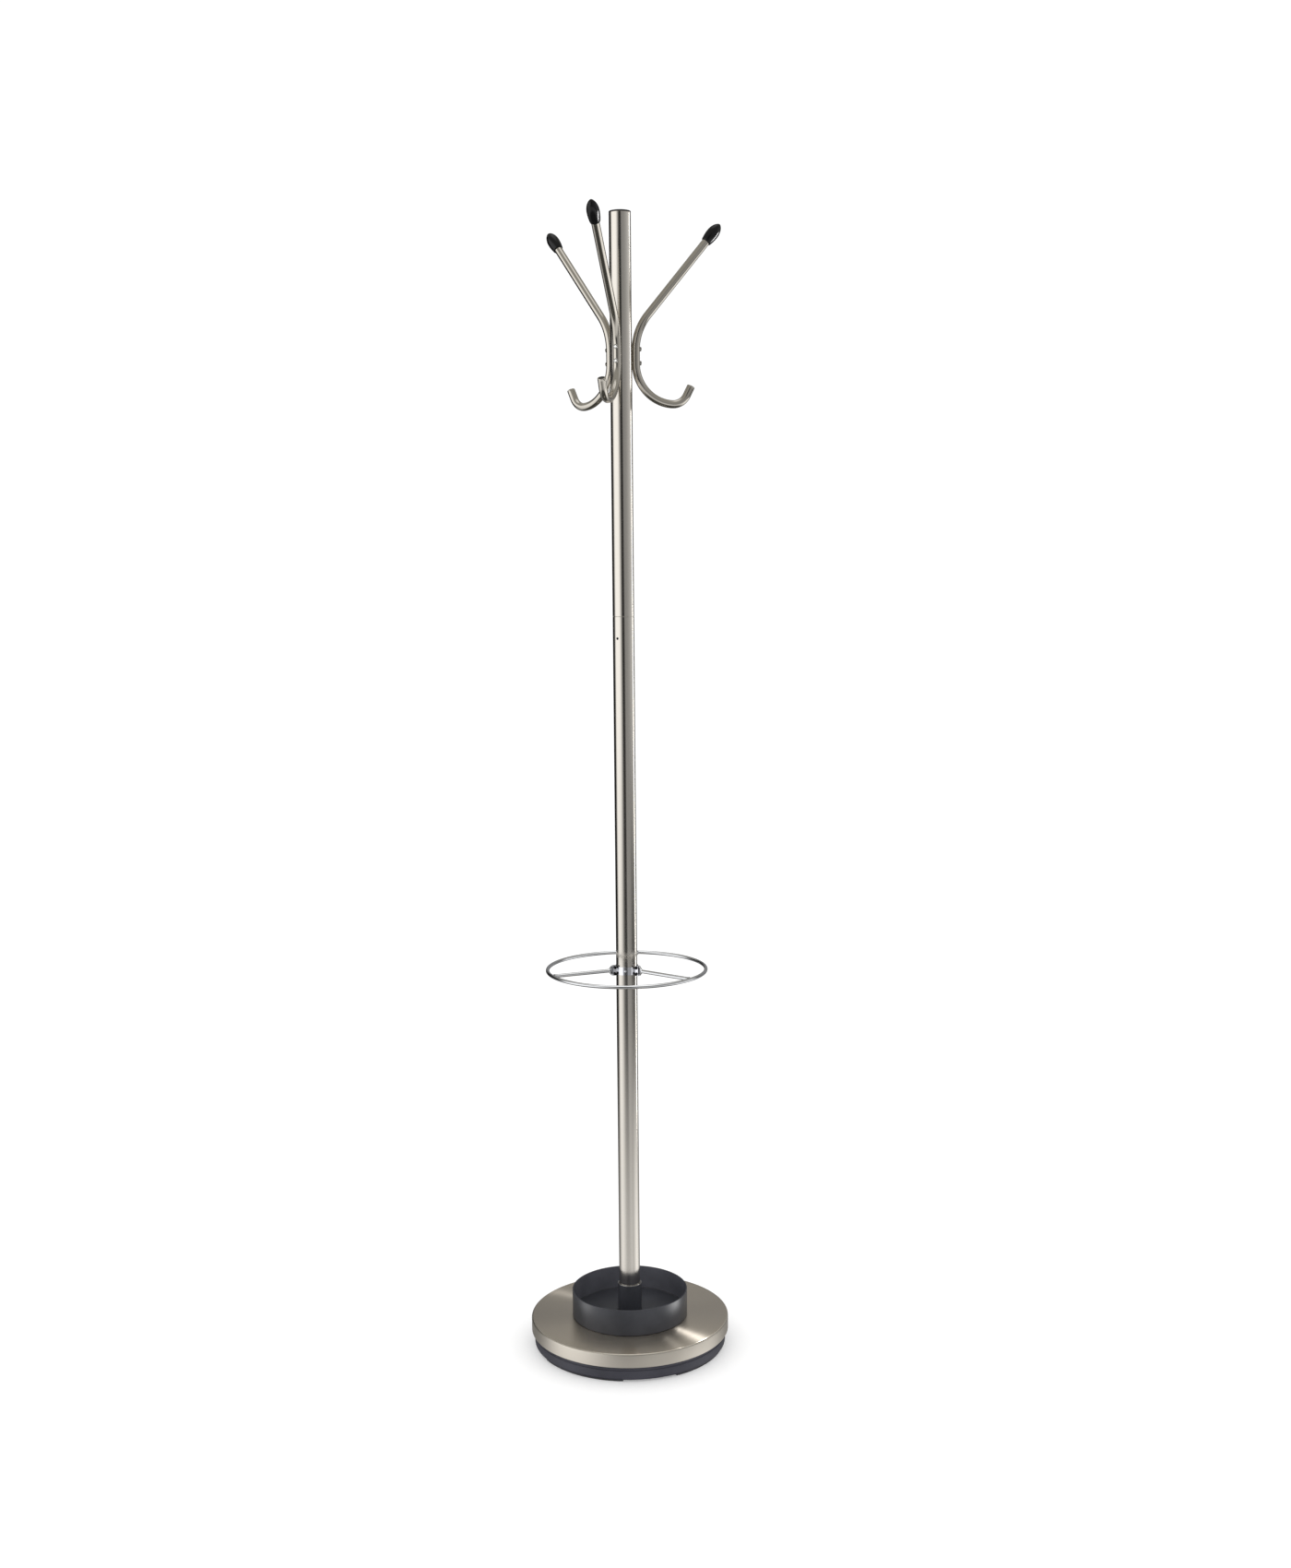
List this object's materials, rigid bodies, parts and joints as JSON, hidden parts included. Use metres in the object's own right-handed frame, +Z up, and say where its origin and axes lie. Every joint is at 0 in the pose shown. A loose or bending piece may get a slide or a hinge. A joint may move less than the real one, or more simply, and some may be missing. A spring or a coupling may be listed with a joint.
{
  "type": "coat rack",
  "caption": "Free-standing coat rack: double hooks on a tubular steel pole, an umbrella ring, a drip tray and a round weighted base.",
  "frame": {"origin": "on the floor, under the pole's axis", "axes": "+Z up along the pole, -Y to the front, +X to the front's right"},
  "size_m": [0.3032, 0.3032, 1.7],
  "materials": {
    "brushed_steel": "fine brushed, warm nickel tone",
    "chrome": "bright plated wire and strip",
    "satin_charcoal": "satin charcoal coat",
    "shell_plastic": "moulded dark grey",
    "gloss_black": "polished black",
    "foot_rubber": "matt dark grey",
    "zinc_fastener": "bright zinc",
    "dark_fastener": "blackened",
    "cast_iron": "as cast",
    "core_plastic": "moulded grey"
  },
  "bodies": {
    "stand": {"base_shell": "shell_plastic", "base_weight": "cast_iron", "base_cover": "brushed_steel", "foot_pad_front_left": "foot_rubber", "foot_pad_front_right": "foot_rubber", "foot_pad_back_right": "foot_rubber", "foot_pad_back_left": "foot_rubber", "centre_bolt": "zinc_fastener", "bolt_washer": "zinc_fastener", "pole_insert": "zinc_fastener", "lower_tube": "brushed_steel", "middle_tube": "brushed_steel", "upper_tube": "brushed_steel", "joint_sleeve_lower": "zinc_fastener", "joint_sleeve_upper": "zinc_fastener", "joint_set_screw": "dark_fastener", "top_cap": "gloss_black", "hook_core": "core_plastic", "hook_front": "brushed_steel", "hook_right": "brushed_steel", "hook_left": "brushed_steel", "hook_tip_front": "gloss_black", "hook_tip_right": "gloss_black", "hook_tip_left": "gloss_black", "hook_plug_front": "gloss_black", "hook_plug_right": "gloss_black", "hook_plug_left": "gloss_black", "hook_screw_front_upper": "zinc_fastener", "hook_screw_front_lower": "zinc_fastener", "hook_screw_right_upper": "zinc_fastener", "hook_screw_right_lower": "zinc_fastener", "hook_screw_left_upper": "zinc_fastener", "hook_screw_left_lower": "zinc_fastener"},
    "tray": {"drip_tray": "satin_charcoal", "tray_tube": "satin_charcoal"},
    "ring": {"umbrella_ring": "chrome", "ring_spoke_left": "chrome", "ring_spoke_right": "chrome", "ring_spoke_back": "chrome", "collar_segment_1": "chrome", "collar_segment_2": "chrome", "collar_segment_3": "chrome", "collar_screw_left_upper": "dark_fastener", "collar_screw_left_lower": "dark_fastener", "collar_screw_right_upper": "dark_fastener", "collar_screw_right_lower": "dark_fastener", "collar_screw_back_upper": "dark_fastener", "collar_screw_back_lower": "dark_fastener", "collar_nut_left_upper": "dark_fastener", "collar_nut_left_lower": "dark_fastener", "collar_nut_right_upper": "dark_fastener", "collar_nut_right_lower": "dark_fastener", "collar_nut_back_upper": "dark_fastener", "collar_nut_back_lower": "dark_fastener"}
  },
  "joints": [
    {"name": "tray_lift", "type": "slide", "parent": "stand", "child": "tray", "axis": [0, 0, 1], "range_m": [0, 0.48]},
    {"name": "ring_turn", "type": "hinge", "parent": "stand", "child": "ring", "pos_m": [0, 0, 0.587], "axis": [0, 0, 1], "continuous": true}
  ]
}
